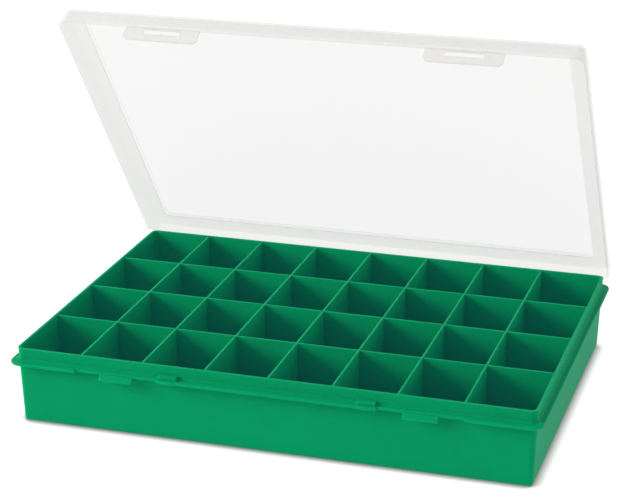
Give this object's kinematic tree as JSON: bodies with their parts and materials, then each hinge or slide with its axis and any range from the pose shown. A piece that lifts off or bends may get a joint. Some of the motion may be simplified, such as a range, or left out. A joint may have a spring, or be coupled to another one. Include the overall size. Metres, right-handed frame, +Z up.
{
  "type": "compartment storage box",
  "caption": "Shallow rectangular sorting tray divided into small equal compartments, with a hinged translucent lid that snaps shut on two front latches.",
  "frame": {"origin": "centre of the tray's flat underside", "axes": "+Z up, +X to the right along the long side, -Y towards the latches at the front"},
  "size_m": [0.312, 0.2336, 0.2245],
  "materials": {
    "tray_plastic": "smooth satin moulded plastic, mid green",
    "lid_plastic": "milky translucent moulded plastic"
  },
  "bodies": {
    "tray": {"base_tray": "tray_plastic"},
    "lid": {"lid": "lid_plastic"},
    "left_latch": {"latch_tongue_left": "lid_plastic"},
    "right_latch": {"latch_tongue_right": "lid_plastic"}
  },
  "joints": [
    {"name": "lid_hinge", "type": "hinge", "parent": "tray", "child": "lid", "pos_m": [0, 0.112, 0.04], "axis": [-1, 0, 0], "range_deg": [-53, 62]},
    {"name": "latch_left_flex", "type": "hinge", "parent": "lid", "child": "left_latch", "pos_m": [-0.089, -0.02405, 0.21921], "axis": [-1, 0, 0], "range_deg": [0, 15], "stiffness_Nm_per_rad": 0.2},
    {"name": "latch_right_flex", "type": "hinge", "parent": "lid", "child": "right_latch", "pos_m": [0.089, -0.02405, 0.21921], "axis": [-1, 0, 0], "range_deg": [0, 15], "stiffness_Nm_per_rad": 0.2}
  ]
}
